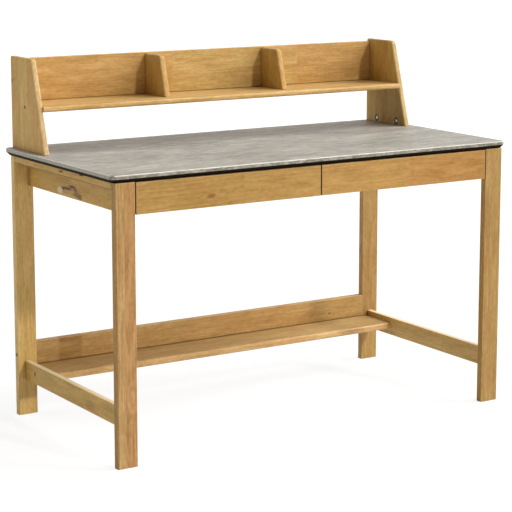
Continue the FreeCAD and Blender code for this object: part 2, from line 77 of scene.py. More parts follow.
class Graph:
    """Builds the node tree of one material. Lengths inside it are in millimetres."""

    def __init__(self, name):
        self.mat = bpy.data.materials.new(name)
        self.mat.use_nodes = True
        self.tree = self.mat.node_tree
        self.shader = self.tree.nodes["Principled BSDF"]
        self.count = 0

    def put(self, socket, value):
        if isinstance(value, bpy.types.NodeSocket):
            self.tree.links.new(value, socket)
        else:
            socket.default_value = value

    def node(self, kind, inputs=(), **settings):
        n = self.tree.nodes.new(kind)
        self.count += 1
        column, row = divmod(self.count, NODES_IN_COLUMN)
        n.location = (-NODE_STEP[0] * (column + 1), NODE_STEP[1] * row)
        for key, value in settings.items():
            setattr(n, key, value)
        for key, value in dict(inputs).items():
            self.put(n.inputs[key], value)
        return n

    def math(self, op, *values):
        return self.node("ShaderNodeMath", enumerate(values), operation=op).outputs[0]

    def add(self, *values):
        total = values[0]
        for value in values[1:]:
            total = self.math("ADD", total, value)
        return total

    def scaled(self, value, factor, offset=0.0):
        """The value times the factor plus the offset, as a plain number where the value is one."""
        if isinstance(value, float):
            return value * factor + offset
        return self.math("MULTIPLY_ADD", value, factor, offset)

    def centred(self, value, spread, middle=0.0):
        """A value between 0 and 1, spread evenly round the middle."""
        return self.scaled(value, spread, middle - spread / 2)

    def place(self):
        """The place on the desk in millimetres."""
        coord = self.node("ShaderNodeTexCoord").outputs["Object"]
        inputs = {0: coord, "Scale": MM}
        return self.node("ShaderNodeVectorMath", inputs, operation="SCALE").outputs[0]

    def split(self, vector):
        return dict(zip("XYZ", self.node("ShaderNodeSeparateXYZ", {0: vector}).outputs))

    def vector(self, x, y, z):
        return self.node("ShaderNodeCombineXYZ", {0: x, 1: y, 2: z}).outputs[0]

    def vector_math(self, op, *vectors):
        return self.node("ShaderNodeVectorMath", enumerate(vectors), operation=op).outputs

    def length(self, vector):
        return self.vector_math("LENGTH", vector)["Value"]

    def stretched(self, vector, lengths, offset=(0.0, 0.0, 0.0)):
        """The vector in units of the given lengths, one for each direction."""
        scale = tuple(1.0 / length for length in lengths)
        inputs = {"Vector": vector, "Location": offset, "Scale": scale}
        return self.node("ShaderNodeMapping", inputs).outputs[0]

    def noise(self, vector, detail=2.0, rough=0.5):
        inputs = {"Vector": vector, "Scale": 1.0, "Detail": detail, "Roughness": rough}
        return self.node("ShaderNodeTexNoise", inputs).outputs["Fac"]

    def layers(self, vector, table):
        """A noise for each row of the table: name, lengths, offset, detail, roughness."""
        return {
            name: self.noise(self.stretched(vector, lengths, offset), detail, rough)
            for name, lengths, offset, detail, rough in table}

    def spread(self, layer, spreads):
        """The named layers, each spread evenly round zero."""
        return [self.centred(layer[key], width) for key, width in spreads.items()]

    def fade(self, value, lo, hi, to_lo=0.0, to_hi=1.0):
        inputs = {"Value": value, "From Min": lo, "From Max": hi, "To Min": to_lo, "To Max": to_hi}
        return self.node("ShaderNodeMapRange", inputs, interpolation_type="SMOOTHSTEP").outputs[0]

    def near(self, value, at, inner, outer, strength=1.0):
        """The strength within the inner distance from a place, and zero from the outer one on."""
        offset = self.math("ABSOLUTE", self.scaled(value, 1.0, -at))
        return self.fade(offset, inner, outer, strength, 0.0)

    def ramp(self, value, stops):
        n = self.node("ShaderNodeValToRGB", {0: value})
        points = n.color_ramp.elements
        while len(points) < len(stops):
            points.new(0.5)
        for point, (at, color) in zip(points, stops):
            point.position = at
            point.color = color
        return n.outputs[0]

    def mix(self, factor, a, b, blend="MIX"):
        """Two colours mixed. The node takes them at its inputs 6 and 7 and gives its output 2."""
        inputs = {0: factor, 6: a, 7: b}
        settings = {"data_type": "RGBA", "blend_type": blend, "clamp_factor": True}
        return self.node("ShaderNodeMix", inputs, **settings).outputs[2]

    def times(self, color, factor):
        return self.mix(1.0, color, factor + (1.0,), "MULTIPLY")

    def bump(self, height, depth_mm, strength=1.0):
        inputs = {"Height": height, "Distance": depth_mm / MM, "Strength": strength}
        return self.node("ShaderNodeBump", inputs).outputs[0]

    def finish(self, color, rough, normal, **fixed):
        self.put(self.shader.inputs["Base Color"], color)
        self.put(self.shader.inputs["Roughness"], rough)
        self.put(self.shader.inputs["Normal"], normal)
        for key, value in fixed.items():
            self.shader.inputs[SOCKETS[key]].default_value = value
        return self.mat


# Wood. Tones from the darkest to the palest of a board's figure
OAK = (
    (0.0, srgb(142, 100, 54)), (0.34, srgb(173, 129, 74)),
    (0.56, srgb(191, 148, 90)), (1.0, srgb(222, 184, 128)))
BOX_OAK = (
    (0.0, srgb(168, 130, 84)), (0.4, srgb(196, 160, 112)),
    (0.6, srgb(208, 174, 128)), (1.0, srgb(228, 200, 160)))
REDDER = (1.07, 0.955, 0.93)
YELLOWER = (0.97, 1.02, 0.95)
# Pale rubbed edges: partly wear, partly a painted highlight along the arrises
RUBBED_HIGHLIGHT = srgb(240, 205, 158)
# Painted shade in the joints between boards
CONTACT_SHADE_DARK = srgb(84, 56, 24)

# Layers of its figure: name, lengths along and across the grain, offset, detail, roughness
NO_OFFSET = (0.0, 0.0, 0.0)
WOOD_LAYERS = (
    ("slow", (520.0, 70.0, 70.0), NO_OFFSET, 2.0, 0.5),
    ("quick", (75.0, 14.0, 14.0), NO_OFFSET, 2.0, 0.5),
    ("cloud", (120.0, 24.0, 24.0), (0.0, 0.0, 8.3), 2.0, 0.5),
    ("mottle", (15.0, 7.5, 7.5), (2.2, 0.0, 5.1), 2.0, 0.5),
    ("streak", (85.0, 4.6, 4.6), (3.1, 0.0, 0.0), 3.0, 0.6),
    ("fibre", (21.0, 1.3, 1.3), (0.0, 5.7, 0.0), 3.0, 0.65),
    ("fleck", (17.0, 1.9, 1.9), (0.0, 9.7, 0.0), 1.0, 0.5),
    ("pore", (7.5, 0.42, 0.42), (9.1, 0.0, 0.0), 1.0, 0.5),
    ("warmth", (90.0, 9.0, 9.0), (0.0, 2.9, 4.4), 3.0, 0.5),
)
FLECK_FROM = (0.60, 0.72)
PORE_FROM = (0.64, 0.74)
SHADE_MIDDLE = 0.51

# Fingers of a glued joint across the grain, and how far the figure jumps from piece to piece
FINGER_HALF, FINGER_SLOPE = 2.6, 3.4
PIECE_JUMP, BOARD_JUMP = 61.7, 17.3
JUMP_ALONG, JUMP_BACK = 5.1, -0.7

# Growth rings: their width, the rise and the sudden end of each, and how far the waves bend them
RING_WIDTH = 5.5
RING_RISE, RING_END = 0.8, 0.84
SLOW_BEND, QUICK_BEND, PIECE_BEND = 34.0, 3.0, 2.3

# Knots, in half lengths from the middle: reach of the push on the rings, and the dark heart
KNOT_REACH = 2.4
KNOT_UNEVEN = 0.5
KNOT_HEART = (0.25, 0.9)
KNOT_DARK = -0.33

# Width and patchiness of the pale edges, which are worn and carry a painted highlight
EDGE_RUB = 3.0
WEAR_AND_HIGHLIGHT_FROM = (0.25, 0.6)
LACQUER = {"specular_ior_level": 0.12, "coat_weight": 0.05, "coat_roughness": 0.2}
BLOT_LENGTHS = (9.0, 9.0, 6.0)
BLOT_UNEVEN = 1.1
BLOT_RIM = (0.55, 1.15)


def tinted(stops, tint):
    return tuple((at, tuple(c * t for c, t in zip(color, tint + (1.0,)))) for at, color in stops)


def upright(g, parts, node, axis, lean):
    """The place along an axis, freed from the lean of the board's slanted front."""
    if not (lean and axis == "Y"):
        return parts[axis]
    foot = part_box(node)[0].z * MM
    return g.math("SUBTRACT", parts["Y"], g.scaled(parts["Z"], lean, -lean * foot))


def edge_closeness(g, parts, node, lean):
    """One at the long edges of a board, zero inside its faces, from the board's own box."""
    lo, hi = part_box(node)
    inside = []
    for axis, a, b in zip("XYZ", lo * MM, hi * MM):
        from_middle = g.math("SUBTRACT", upright(g, parts, node, axis, lean), (a + b) / 2)
        inside.append(g.math("SUBTRACT", (b - a) / 2, g.math("ABSOLUTE", from_middle)))
    low = g.math("MINIMUM", inside[0], inside[1])
    high = g.math("MAXIMUM", inside[0], inside[1])
    second = g.math("MINIMUM", high, g.math("MAXIMUM", low, inside[2]))
    return g.fade(second, 0.0, EDGE_RUB, 1.0, 0.0)


def own_pith(seed):
    """The heart of the trunk for a board that states none, at a distance of its own."""
    return ((seed * 37) % 50) - 25.0, 55.0 + (seed * 23) % 40


def wood(name, node, grain, seed, breaks=(), marks=(), knots=(), bows=(), shade_and_sheen_lines=(), faces=(),
         tone=0.0, red=0.0, figure=1.0, blush=1.5, arcs=0.07, pith=None, tint=(1.0, 1.0, 1.0),
         stops=OAK, gloss=0.43, rim_wear_and_highlight=0.3, lean=0.0):
    """Clear-lacquered boards. grain is the letter of the axis that the grain follows.

    breaks: (axis, place, change of tone, change of redness), a glued seam between two pieces.
    knots: (centre, half length, half width, push on the rings), in millimetres.
    bows: the same four, where the rings bow round a spot that has no dark heart.
    marks: (centre, three radii, colour, strength), a coloured blot with an uneven rim.
    seams: (axis, place, half width, strength), painted shade where boards meet; a colour may
    follow.
    faces: (sign and axis, depth, colour), painted light and shade: a side made paler or darker.
    tone, red: added to the shade and to the redness of the whole board.
    figure, blush, arcs: strength of the streaks, of the changes of redness, and of the rings.
    pith: how far the heart of the trunk lies from the board's middle, across the grain.
    rim: how pale the rubbed edges are, worn and with a painted highlight. gloss: the roughness of
    the lacquer.
    lean: how far the board's front edge moves back for each millimetre of height.
    """
    g = Graph(name)
    p = g.place()
    parts = g.split(p)
    side, back = (letter for letter in "XYZ" if letter != grain)
    lo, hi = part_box(node)
    middle = dict(zip("XYZ", (lo + hi) * MM / 2))

    # Glued seams: finger joints across the grain, straight lines along it
    piece = 0.0
    for axis, at, tone_step, red_step in breaks:
        along = parts[axis]
        if axis == grain:
            teeth = g.math("PINGPONG", g.add(parts[back], parts[side]), FINGER_HALF)
            along = g.add(along, g.scaled(teeth, FINGER_SLOPE))
        step = g.math("GREATER_THAN", along, float(at))
        piece = g.add(piece, step)
        tone = g.add(tone, g.scaled(step, tone_step))
        red = g.add(red, g.scaled(step, red_step))
    jump = g.scaled(piece, PIECE_JUMP, seed * BOARD_JUMP)
    figured = g.vector(
        g.add(parts[grain], g.scaled(jump, JUMP_ALONG)), g.add(parts[side], jump),
        g.add(parts[back], g.scaled(jump, JUMP_BACK)))
    layer = g.layers(figured, WOOD_LAYERS)

    # Growth rings round a far axis, bent by slow waves and by the knots
    from_pith = []
    for axis, distance in zip((side, back), own_pith(seed) if pith is None else pith):
        off = g.math("SUBTRACT", g.add(parts[axis], distance), middle[axis])
        from_pith.append(g.math("MULTIPLY", off, off))
    radius = g.add(
        g.math("SQRT", g.add(*from_pith)), g.scaled(layer["slow"], SLOW_BEND),
        g.scaled(layer["quick"], QUICK_BEND), g.scaled(piece, PIECE_BEND))
    hearts = []
    for index, (centre, half_length, half_width, push) in enumerate((*knots, *bows)):
        halves = {axis: half_length if axis == grain else half_width for axis in "XYZ"}
        off = [
            g.scaled(g.math("SUBTRACT", parts[axis], at), 1.0 / halves[axis])
            for axis, at in zip("XYZ", centre)]
        distance = g.add(g.length(g.vector(*off)), g.centred(layer["quick"], KNOT_UNEVEN))
        radius = g.add(radius, g.scaled(g.fade(distance, 0.0, KNOT_REACH, 1.0, 0.0), push))
        if index < len(knots):
            hearts.append(g.fade(distance, *KNOT_HEART, 1.0, 0.0))
    phase = g.math("FRACT", g.scaled(radius, 1.0 / RING_WIDTH))
    rings = g.math(
        "MULTIPLY", g.fade(phase, 0.0, RING_RISE), g.fade(phase, RING_END, 1.0, 1.0, 0.0))

    # Clouds, streaks, flecks, fibres and pores, all drawn out along the grain
    flecks = g.fade(layer["fleck"], *FLECK_FROM)
    pores = g.fade(layer["pore"], *PORE_FROM)
    spreads = {"cloud": 0.52, "mottle": 0.34, "streak": 0.54 * figure, "fibre": 0.46 * figure}
    shade = g.add(
        g.scaled(rings, -arcs, SHADE_MIDDLE), *g.spread(layer, spreads),
        g.scaled(flecks, -0.10 * figure), g.scaled(pores, -0.12), tone,
        *(g.scaled(heart, KNOT_DARK) for heart in hearts))
    color = g.ramp(shade, tinted(stops, tint))
    warmth = g.scaled(g.add(g.centred(layer["warmth"], blush), red), 1.0, 0.5)
    color = g.mix(warmth, g.times(color, YELLOWER), g.times(color, REDDER))

    # Painted light and shade: one side of a board made paler or darker for how the light falls on
    # it
    for (sign, axis), depth, factor in faces:
        at = dict(zip("XYZ", hi if sign == "+" else lo))[axis] * MM
        near = g.near(upright(g, parts, node, axis, lean), at, 0.4 * depth, depth)
        color = g.mix(near, color, g.times(color, factor))

    # Softened edges, where the lacquer is thin and the wood paler, and a painted highlight on the
    # arrises
    wear_and_highlight_patches = g.fade(layer["quick"], *WEAR_AND_HIGHLIGHT_FROM)
    rub_and_highlight = g.math("MULTIPLY", edge_closeness(g, parts, node, lean), wear_and_highlight_patches)
    color = g.mix(g.scaled(rub_and_highlight, rim_wear_and_highlight), color, RUBBED_HIGHLIGHT)

    for centre, radii, blot, strength in marks:
        off = g.vector_math("SUBTRACT", p, centre)[0]
        off = g.vector_math("MULTIPLY", off, tuple(1.0 / r for r in radii))[0]
        uneven = g.noise(g.stretched(p, BLOT_LENGTHS))
        distance = g.add(g.length(off), g.centred(uneven, BLOT_UNEVEN))
        color = g.mix(g.fade(distance, *BLOT_RIM, strength, 0.0), color, blot)

    # Lines of painted shade where boards meet; where a pale colour is given, a painted sheen
    for axis, at, half_width, strength, *line_color in shade_and_sheen_lines:
        line = g.near(parts[axis], at, 0.3 * half_width, half_width, strength)
        color = g.mix(line, color, *line_color or (CONTACT_SHADE_DARK,))

    rough = g.add(
        g.centred(layer["streak"], 0.16, gloss), g.scaled(pores, 0.12), g.scaled(rub_and_highlight, 0.08))
    height = g.add(g.scaled(layer["fibre"], 0.5), g.scaled(pores, -0.8), g.scaled(rings, 0.35))
    return g.finish(color, rough, g.bump(height, 0.05, 0.6), **LACQUER)


def dress(node, material):
    mesh = CAD[node].data
    mesh.materials.clear()
    mesh.materials.append(material)


# Desktop: a concrete look with brushed streaks along its length and clouds of two greys
SLAB_HALF_X, SLAB_HALF_Y = 635.5, 318.5
SLAB_TOP = 762.0
SLAB_BEND_LENGTHS, SLAB_BEND = (260.0, 120.0, 120.0), 30.0
SLAB_STREAKS = (
    ("clouds", (230.0, 90.0, 60.0), NO_OFFSET, 3.0, 0.55),
    ("drift", (70.0, 17.0, 8.0), (4.0, 0.0, 0.0), 3.0, 0.6),
    ("dash", (25.0, 6.0, 4.0), (0.0, 0.0, 6.0), 3.0, 0.6),
    ("brush", (16.0, 1.5, 2.0), (0.0, 7.0, 0.0), 3.0, 0.6),
    ("hue", (75.0, 26.0, 20.0), (0.0, 0.0, 9.0), 3.0, 0.6),
)
SLAB_SPECKS = (
    ("mottle", (13.0, 9.0, 5.0), (1.0, 0.0, 3.0), 3.0, 0.6),
    ("grit", (1.4, 1.4, 1.4), NO_OFFSET, 2.0, 0.5),
    ("pit", (4.2, 2.4, 2.4), (0.0, 2.0, 6.0), 1.0, 0.5),
)
PIT_FROM = (0.70, 0.78)
# How far in from the rim the painted highlight reaches
SLAB_HIGHLIGHT_REACH = (-4.2, -1.6)
SLAB_SKIN = (SLAB_TOP - 2.6, SLAB_TOP - 1.2)
SLAB_LIT_END = (0.1 - SLAB_HALF_X, 1.1 - SLAB_HALF_X)
TOP_SPREADS = {
    "clouds": 0.7, "drift": 0.75, "dash": 0.8, "brush": 0.45, "mottle": 0.5, "grit": 0.16}
EDGE_SPREADS = {"mottle": 1.5, "grit": 0.35, "drift": 0.6}
TOP_GREYS = (
    (0.0, srgb(89, 88, 81)), (0.35, srgb(133, 130, 121)),
    (0.6, srgb(161, 156, 147)), (1.0, srgb(202, 196, 187)))
EDGE_GREYS = (
    (0.0, srgb(78, 70, 58)), (0.4, srgb(122, 114, 100)),
    (0.65, srgb(156, 148, 134)), (1.0, srgb(196, 189, 176)))
PINKER = (1.05, 0.985, 0.985)
GREENER = (0.975, 1.0, 0.985)
# The painted highlight on the rim
SLAB_RIM_HIGHLIGHT = srgb(230, 226, 219)
# Painted light on the left end face of the slab
SLAB_END_LIGHT = srgb(188, 184, 166)


def concrete():
    g = Graph("concrete_look")
    p = g.place()
    parts = g.split(p)
    bent = g.noise(g.stretched(p, SLAB_BEND_LENGTHS))
    q = g.vector(parts["X"], g.add(parts["Y"], g.scaled(bent, SLAB_BEND)), parts["Z"])
    layer = g.layers(q, SLAB_STREAKS) | g.layers(p, SLAB_SPECKS)
    pits = g.fade(layer["pit"], *PIT_FROM)

    shade = g.add(*g.spread(layer, TOP_SPREADS), g.scaled(pits, -0.22), 0.5)
    top = g.ramp(shade, TOP_GREYS)
    top = g.mix(g.fade(layer["hue"], 0.36, 0.64), g.times(top, PINKER), g.times(top, GREENER))
    # A painted highlight along the rubbed rim, where it catches the light
    reach_x = g.scaled(g.math("ABSOLUTE", parts["X"]), 1.0, -SLAB_HALF_X)
    reach_y = g.scaled(g.math("ABSOLUTE", parts["Y"]), 1.0, -SLAB_HALF_Y)
    rim_wear_and_highlight = g.math(
        "MULTIPLY", g.fade(g.math("MAXIMUM", reach_x, reach_y), *SLAB_HIGHLIGHT_REACH),
        g.fade(layer["dash"], 0.3, 0.6, 0.5, 0.9))
    top = g.mix(rim_wear_and_highlight, top, SLAB_RIM_HIGHLIGHT)
    # The edge shows the same skin with a finer and darker mottle; painted light makes the left end
    # paler
    edge = g.ramp(g.add(*g.spread(layer, EDGE_SPREADS), 0.5), EDGE_GREYS)
    color = g.mix(g.fade(parts["Z"], *SLAB_SKIN, 1.0, 0.0), top, edge)
    lit_end = g.fade(parts["X"], *SLAB_LIT_END, 0.4, 0.0)
    color = g.mix(lit_end, color, SLAB_END_LIGHT)
    rough = g.add(
        g.scaled(layer["brush"], 0.12, 0.42), g.scaled(layer["mottle"], 0.10), g.scaled(pits, 0.15))
    height = g.add(
        g.scaled(layer["dash"], 0.5), g.scaled(layer["brush"], 0.35), g.scaled(pits, -1.0),
        g.scaled(layer["grit"], 0.2))
    return g.finish(color, rough, g.bump(height, 0.08, 0.5))


def black_board():
    g = Graph("black_edge")
    p = g.place()
    fine = g.noise(g.stretched(p, (3.0, 3.0, 1.5)), 3.0)
    wide = g.noise(g.stretched(p, (60.0, 60.0, 12.0), (2.0, 0.0, 0.0)))
    shade = g.add(g.scaled(fine, 0.5), g.scaled(wide, 0.5))
    color = g.ramp(shade, ((0.25, srgb(9, 7, 3)), (0.75, srgb(25, 20, 11))))
    rough = g.add(g.scaled(wide, 0.15, 0.55), g.scaled(fine, 0.1))
    return g.finish(color, rough, g.bump(fine, 0.05, 0.5), specular_ior_level=0.08)


def metal(name, dark, light, along, rough, grain, metallic=1.0):
    """Plated or cast metal with fine marks drawn out along one axis.

    grain: how long the marks are along that axis and across it, in millimetres.
    """
    g = Graph(name)
    p = g.place()
    lengths = tuple(grain[0] if letter == along else grain[1] for letter in "XYZ")
    brushed = g.noise(g.stretched(p, lengths), 3.0, 0.6)
    stain = g.noise(g.stretched(p, (14.0, 14.0, 14.0), (1.0, 5.0, 0.0)), 3.0)
    shade = g.add(g.scaled(brushed, 0.6), g.scaled(stain, 0.6), -0.1)
    color = g.ramp(shade, ((0.2, dark), (0.8, light)))
    uneven = g.add(g.centred(brushed, 0.16, rough), g.centred(stain, 0.14))
    return g.finish(color, uneven, g.bump(brushed, 0.01, 0.4), metallic=metallic)


def plastic(name, dark, light, rough):
    g = Graph(name)
    p = g.place()
    fine = g.noise(g.stretched(p, (0.7, 0.7, 0.7)))
    wide = g.noise(g.stretched(p, (6.0, 6.0, 6.0)))
    color = g.ramp(g.add(g.scaled(fine, 0.4), g.scaled(wide, 0.6)), ((0.3, dark), (0.7, light)))
    uneven = g.add(g.centred(wide, 0.12, rough), g.scaled(fine, 0.08))
    return g.finish(color, uneven, g.bump(fine, 0.02, 0.5))


# Materials of the boards, one each, so that no two boards carry the same figure. Places are in
# millimetres in the desk's own frame
BLOT_BLACK = srgb(34, 26, 14)
BLOT_DARK = srgb(92, 58, 20)
BLOT_BROWN = srgb(124, 86, 38)
BLOT_GREEN = srgb(126, 98, 48)
BLOT_CREAM = srgb(228, 206, 158)
BLOT_TAN = srgb(204, 156, 98)
BLOT_SOFT = srgb(212, 176, 122)
BLOT_RED = srgb(150, 84, 40)
# A painted sheen, for the top face of the stretchers
TOP_SHEEN_PALE = srgb(250, 228, 184)
APRON_X = -584.5
APRON_MARKS = (
    ((APRON_X, 20.0, 675.0), (6.0, 40.0, 7.0), BLOT_TAN, 0.7),
    ((APRON_X, 36.0, 663.7), (6.0, 34.0, 4.4), BLOT_SOFT, 0.65),
    ((APRON_X, 76.6, 670.6), (6.0, 18.0, 11.0), BLOT_CREAM, 0.9),
    ((APRON_X, 57.0, 678.6), (6.0, 12.0, 4.4), BLOT_DARK, 0.9),
    ((APRON_X, 31.5, 680.3), (6.0, 26.0, 4.4), BLOT_DARK, 0.95),
    ((APRON_X, 5.0, 688.4), (6.0, 21.0, 4.4), BLOT_DARK, 0.95),
    ((APRON_X, -10.5, 686.5), (6.0, 9.0, 6.4), BLOT_BROWN, 0.95),
    ((APRON_X, -18.0, 681.5), (6.0, 9.5, 7.0), BLOT_BROWN, 0.9),
    ((APRON_X, -25.0, 669.8), (6.0, 24.0, 7.2), BLOT_GREEN, 0.9),
    ((APRON_X, -41.5, 666.5), (6.0, 13.0, 8.2), BLOT_BROWN, 0.85),
)
# How far the slanted fronts of the shelf unit move back for each millimetre of height
SIDE_LEAN = 75.0 / 255.0
DIVIDER_LEAN = 33.0 / 117.0
# A painted highlight on the slanted fronts of the dividers
DIVIDER_FRONT_HIGHLIGHT = ("-Y", 3.0, (1.12, 1.12, 1.3))

# The faces entries below are painted light and shade on single sides of the boards
BOARDS = {
    "leg_front_left": dict(
        grain="Z", seed=3, breaks=(("X", -600.0, -0.09, 0.5),), tone=0.1, figure=1.1, blush=2.4,
        # Its left side is painted darker and less blue, as shade
        faces=(("-X", 2.0, (0.87, 0.86, 0.64)),), arcs=0.15,
        bows=(((-583.0, -318.5, 188.0), 24.0, 9.0, 9.0),
              ((-592.0, -318.5, 52.0), 42.0, 10.0, 8.0)),
        marks=(((-622.6, -314.5, 380.0), (1.9, 4.0, 520.0), BLOT_RED, 0.6),)),
    "leg_front_right": dict(
        grain="Z", seed=8, breaks=(("X", 597.0, 0.02, -0.1),), figure=1.2,
        # Its left side is painted paler, as light
        faces=(("-X", 2.0, (1.1, 1.12, 0.9)),)),
    # Its tone lifts the leg as painted light; its inner and back sides are painted darker, as shade
    "leg_rear_left": dict(
        grain="Z", seed=12, breaks=(("X", -590.0, -0.03, 0.1),), tone=0.28, red=-0.5, figure=1.2,
        faces=(("+X", 2.0, (0.82, 0.78, 0.75)), ("+Y", 2.0, (0.86, 0.82, 0.8)))),
    "leg_rear_right": dict(grain="Z", seed=17, figure=1.2),
    "side_rail_left": dict(
        grain="Y", seed=21,
        marks=(((-624.4, -13.0, 735.5), (5.0, 15.0, 3.4), BLOT_DARK, 0.95),
               ((-624.4, -131.0, 741.0), (5.0, 16.0, 2.8), BLOT_BLACK, 0.95))),
    "side_rail_right": dict(grain="Y", seed=24),
    "side_apron_left": dict(
        grain="Y", seed=29, faces=(("+X", 2.0, (0.84, 0.82, 1.0)),),
        knots=(((APRON_X, 20.0, 676.0), 95.0, 16.0, 20.0),), marks=APRON_MARKS),
    "side_apron_right": dict(grain="Y", seed=33),
    "front_rail": dict(grain="X", seed=37),
    "rear_rail": dict(grain="X", seed=41),
    "rear_apron": dict(
        grain="X", seed=45, breaks=(("X", -190.0, 0.06, -0.2), ("X", 240.0, -0.08, 0.3))),
    "drawer_partition": dict(grain="Y", seed=49),
    "left_drawer_front": dict(
        grain="X", seed=54, breaks=(("X", -238.0, 0.03, 0.1),), figure=0.7, arcs=0.09,
        pith=(-46.0, 8.0), knots=(((-343.0, -314.4, 687.0), 20.0, 9.0, 6.0),),
        marks=(((-343.0, -314.4, 687.0), (12.0, 4.0, 7.0), BLOT_RED, 0.35),)),
    "right_drawer_front": dict(
        grain="X", seed=59, breaks=(("X", 299.0, -0.09, 0.35),), tone=0.09, figure=0.7, arcs=0.09,
        pith=(-52.0, -14.0)),
    "hutch_side_left": dict(
        grain="Z", seed=63, breaks=(("Y", 208.0, 0.11, -0.4), ("Y", 254.0, -0.14, 0.3)),
        figure=0.85, rim_wear_and_highlight=0.9, lean=SIDE_LEAN,
        # A painted highlight on its slanted front, and painted shade on its inner side
        faces=(("-Y", 3.0, (1.0, 1.16, 1.9)), ("+X", 2.0, (0.84, 0.84, 1.0)))),
    "hutch_side_right": dict(
        grain="Z", seed=68, breaks=(("Y", 198.6, -0.10, 0.3), ("Y", 260.0, 0.08, -0.3)),
        tone=0.05, rim_wear_and_highlight=0.9, lean=SIDE_LEAN,
        # A painted highlight on its slanted front, and painted shade on its inner side
        faces=(("-Y", 3.0, (1.08, 1.12, 1.6)), ("+X", 2.0, (0.88, 0.80, 0.82))),
        # A painted contact shadow on its slanted front, beside the shelf's end
        marks=(((601.0, 143.0, 878.0), (3.0, 4.0, 3.5), BLOT_BROWN, 0.7),)),
    "hutch_back_panel": dict(
        grain="X", seed=72, tone=0.01,
        breaks=(("Z", 951.0, 0.05, 0.1), ("X", -105.0, 0.06, -0.4), ("X", 330.0, -0.04, 0.4))),
    "hutch_shelf": dict(
        grain="X", seed=77, breaks=(("X", 40.0, 0.03, 0.1),), tone=0.07, rim_wear_and_highlight=1.0,
        # A painted highlight on the nose of its front, and painted light on its left end, which
        # lies in shade
        faces=(("-Y", 6.0, (1.12, 1.09, 1.07)), ("-X", 0.5, (1.7, 1.7, 1.7)))),
    "hutch_divider_left": dict(
        grain="Z", seed=81, breaks=(("Y", 236.0, 0.03, 0.0),), rim_wear_and_highlight=0.9, lean=DIVIDER_LEAN,
        faces=(DIVIDER_FRONT_HIGHLIGHT,)),
    "hutch_divider_right": dict(
        grain="Z", seed=85, breaks=(("Y", 250.0, -0.03, 0.0),), rim_wear_and_highlight=0.9, lean=DIVIDER_LEAN,
        faces=(DIVIDER_FRONT_HIGHLIGHT,)),
    "side_stretcher_left": dict(
        grain="Y", seed=90, tone=0.05, red=-0.3, faces=(("+X", 2.0, (0.84, 0.82, 0.95)),),
        marks=(((-603.5, -118.8, 122.0), (5.0, 30.0, 14.0), BLOT_BROWN, 0.25),)),
    "side_stretcher_right": dict(
        grain="Y", seed=94, tone=0.16, faces=(("+X", 2.0, (0.86, 0.76, 0.74)),)),
    "foot_shelf": dict(
        grain="X", seed=98, breaks=(("X", 310.0, 0.05, 0.0),),
        # A painted highlight on its rounded front
        faces=(("-Y", 4.0, (1.42, 1.36, 1.36)),)),
    "lower_back_board": dict(
        grain="X", seed=103,
        # From X -493 to -420 the board is darker, in a band as wide as a leg
        breaks=(("X", -493.0, -0.26, 0.0), ("X", -420.0, 0.28, 0.0), ("X", 60.0, -0.03, 0.1),
                ("X", 385.0, 0.05, -0.2)),
        marks=(((441.0, 279.5, 164.2), (3.5, 5.0, 3.5), BLOT_DARK, 0.85),)),
}

# Where boards meet, and the lines of painted shade there
LEG_BACK, REAR_LEG_FRONT = -293.5, 279.5
APRON_BACK = 261.5
RAIL_BOTTOM = 724.0
STRETCHER_TOP = 157.0
FOOT_SHELF_TOP = 142.0
SHELF_TOP = 890.0
PANEL_FRONT = 295.0
HUTCH_INSIDE = 597.5
# Painted shade in the gaps round the drawers
GAP_SHADE_DARK = srgb(36, 24, 12)
GAP_HALF = 1.2


def drawer_gap_shade(node, strengths):
    """Painted shade at both ends of a drawer's front, where it runs close past its neighbour."""
    return tuple(
        ("X", corner.x * MM, GAP_HALF, strength, GAP_SHADE_DARK)
        for corner, strength in zip(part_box(node), strengths))


# Lines of painted shade for a board, or for a left and right pair of them
SHADE_AND_SHEEN_LINES = {
    "left_drawer_front": drawer_gap_shade("left_drawer_front", (0.4, 0.75)),
    "right_drawer_front": drawer_gap_shade("right_drawer_front", (0.75, 0.75)),
    "drawer_partition": (("Y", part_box("drawer_partition")[0].y * MM, 4.0, 0.8, GAP_SHADE_DARK),),
    "side_rail": (
        ("Z", RAIL_BOTTOM, 3.2, 0.8), ("Y", LEG_BACK, 3.0, 0.6), ("Y", REAR_LEG_FRONT, 3.0, 0.6)),
    "side_apron": (
        ("Z", RAIL_BOTTOM, 2.6, 0.7), ("Y", LEG_BACK, 3.4, 0.6), ("Y", APRON_BACK, 4.0, 0.6)),
    "side_stretcher": (
        ("Y", LEG_BACK, 3.0, 0.6), ("Y", REAR_LEG_FRONT, 3.0, 0.6),
        # A painted sheen along the stretcher's top face
        ("Z", STRETCHER_TOP, 2.4, 0.85, TOP_SHEEN_PALE)),
    "foot_shelf": (("Y", REAR_LEG_FRONT, 6.0, 0.6),),
    "lower_back_board": (("Z", FOOT_SHELF_TOP, 4.0, 0.7),),
    "hutch_shelf": (("Y", PANEL_FRONT, 3.0, 0.6), ("X", HUTCH_INSIDE, 3.0, 0.4)),
    "hutch_back_panel": (
        ("Z", SHELF_TOP, 3.0, 0.6), ("X", -HUTCH_INSIDE, 3.5, 0.5), ("X", HUTCH_INSIDE, 3.5, 0.5)),
    "hutch_side": (("Z", SLAB_TOP, 2.6, 0.7),),
    "hutch_divider": (("Z", SHELF_TOP, 2.6, 0.7), ("Y", PANEL_FRONT, 3.0, 0.6)),
}

